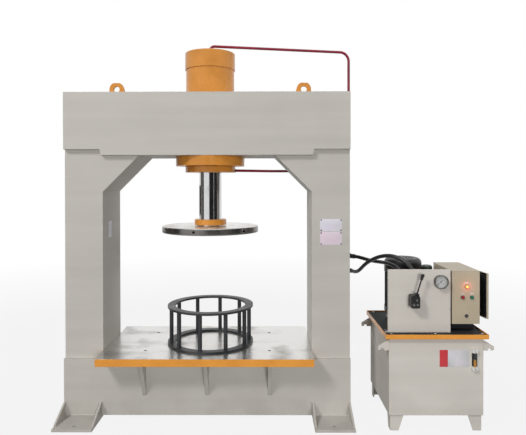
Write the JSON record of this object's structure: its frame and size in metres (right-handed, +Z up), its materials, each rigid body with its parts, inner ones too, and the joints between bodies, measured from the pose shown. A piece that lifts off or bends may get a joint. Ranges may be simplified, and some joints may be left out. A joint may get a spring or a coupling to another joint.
{
  "type": "hydraulic press",
  "caption": "Free-standing H-frame hydraulic press with a down-stroking ram and round platen over a flat bed, and a separate power unit joined by pipes and hoses.",
  "frame": {"origin": "on the floor under the ram's axis, at the centre of the four anchor holes", "axes": "+Z up along the ram, +X towards the power unit, -Y towards the operator"},
  "size_m": [3.175, 1.04, 2.899],
  "materials": {
    "frame_paint": "warm light grey enamel over welded plate",
    "orange_paint": "glossy orange enamel",
    "machined_steel": "machined and oiled steel",
    "chrome_rod": "hard chrome, polished",
    "black_steel": "black enamel",
    "seal_rubber": "plain seal rubber",
    "hose_rubber": "black hydraulic hose cover",
    "crimson_paint": "dark crimson enamel",
    "green_paint": "dark green enamel",
    "box_paint": "pebble beige powder coat",
    "black_plastic": "moulded black plastic",
    "red_plastic": "red button cap",
    "green_plastic": "green button cap",
    "lamp_plastic": "lit orange lens",
    "gauge_glass": "clear gauge window"
  },
  "bodies": {
    "root": {"base_plate_left": "frame_paint", "base_plate_right": "frame_paint", "foot_gussets": "frame_paint", "column_front_left": "frame_paint", "column_front_right": "frame_paint", "column_rear_left": "frame_paint", "column_rear_right": "frame_paint", "column_outer_left": "frame_paint", "column_outer_right": "frame_paint", "column_inner_left": "frame_paint", "column_inner_right": "frame_paint", "beam_front_plate": "frame_paint", "beam_rear_plate": "frame_paint", "beam_bottom_plate": "frame_paint", "beam_top_plate": "frame_paint", "lower_front_plate": "frame_paint", "lower_rear_plate": "frame_paint", "bed_ribs": "frame_paint", "tank": "frame_paint", "front_panel": "frame_paint", "lifting_lugs": "orange_paint", "cylinder_barrel": "orange_paint", "cylinder_end_cap": "orange_paint", "cylinder_flange": "orange_paint", "rod_gland": "orange_paint", "tank_lid": "orange_paint", "bed_plate": "machined_steel", "pump": "machined_steel", "valve_body": "machined_steel", "level_gauge": "machined_steel", "gauge_case": "machined_steel", "button_collars": "machined_steel", "cylinder_screws": "black_steel", "pipe_fittings": "black_steel", "press_cage": "black_steel", "motor_body": "black_steel", "motor_cowl": "black_steel", "bell_housing": "black_steel", "valve_cap": "black_steel", "rod_seals": "seal_rubber", "upper_hose": "hose_rubber", "lower_hose": "hose_rubber", "upper_pipe": "crimson_paint", "lower_pipe": "crimson_paint", "return_filter": "green_paint", "electric_box": "box_paint", "signal_lamp": "lamp_plastic", "gauge_lens": "gauge_glass"},
    "ram": {"piston": "machined_steel", "piston_seals": "seal_rubber", "piston_rod": "chrome_rod", "rod_collar": "orange_paint", "platen": "machined_steel"},
    "rotor": {"motor_rotor": "machined_steel"},
    "lever": {"valve_lever": "black_steel", "lever_knob": "black_plastic"},
    "stop_push": {"stop_button": "red_plastic"},
    "start_push": {"start_button": "green_plastic"},
    "door": {"box_door": "box_paint"},
    "needle": {"gauge_needle": "black_steel"}
  },
  "joints": [
    {"name": "ram_slide", "type": "slide", "parent": "root", "child": "ram", "axis": [0, 0, 1], "range_m": [-0.245, 0.355]},
    {"name": "lever_tilt", "type": "hinge", "parent": "root", "child": "lever", "pos_m": [1.532, -0.48189, 0.976], "axis": [0.9563, 0, -0.2924], "range_deg": [-15, 15], "stiffness_Nm_per_rad": 1.2},
    {"name": "stop_press", "type": "slide", "parent": "root", "child": "stop_push", "axis": [0, 1, 0], "range_m": [0, 0.004], "stiffness_N_per_m": 500},
    {"name": "start_press", "type": "slide", "parent": "root", "child": "start_push", "axis": [0, 1, 0], "range_m": [0, 0.004], "stiffness_N_per_m": 500},
    {"name": "door_swing", "type": "hinge", "parent": "root", "child": "door", "pos_m": [2.02, 0.015, 0.95], "axis": [0, 0, 1], "range_deg": [-7, 103]},
    {"name": "needle_turn", "type": "hinge", "parent": "root", "child": "needle", "pos_m": [1.72, -0.441, 1.063], "axis": [0, 1, 0], "range_deg": [0, 270]},
    {"name": "motor_spin", "type": "hinge", "parent": "root", "child": "rotor", "pos_m": [1.545, -0.04, 0.9], "axis": [0, 0, 1], "continuous": true}
  ]
}
